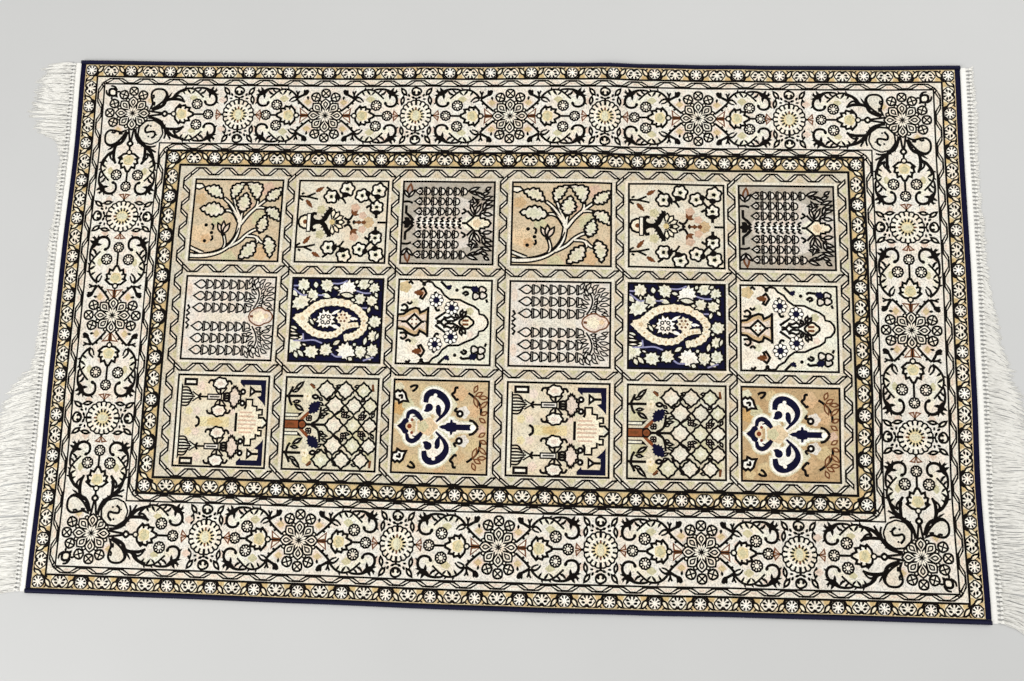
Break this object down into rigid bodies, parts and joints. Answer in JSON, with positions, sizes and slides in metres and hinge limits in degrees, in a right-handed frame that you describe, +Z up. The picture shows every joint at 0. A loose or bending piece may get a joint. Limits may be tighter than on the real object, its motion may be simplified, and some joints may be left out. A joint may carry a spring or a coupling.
{
  "type": "silk rug",
  "caption": "Small hand-knotted silk rug with a garden-panel field, floral border and a knotted fringe at each short end, lying flat on a floor.",
  "frame": {"origin": "on the floor, under the middle of the whole outline with its fringe", "axes": "+X along the rug's length, +Y across it towards the side where the west fringe is a long tuft, +Z up from the floor"},
  "size_m": [1.4158, 0.779, 0.0075],
  "materials": {
    "silk_pile": "hand-knotted cut silk pile in ivory, gold, beige, navy and brick on dark outlines, with a soft sheen",
    "navy_silk": "navy silk overcast closely round the side cords",
    "fringe_yarn": "undyed white warp yarn, matt, with a plain woven end strip"
  },
  "bodies": {
    "root": {"pile_field": "silk_pile", "side_cord_north": "navy_silk", "side_cord_south": "navy_silk", "fringe_west": "fringe_yarn", "fringe_east": "fringe_yarn"}
  },
  "joints": []
}
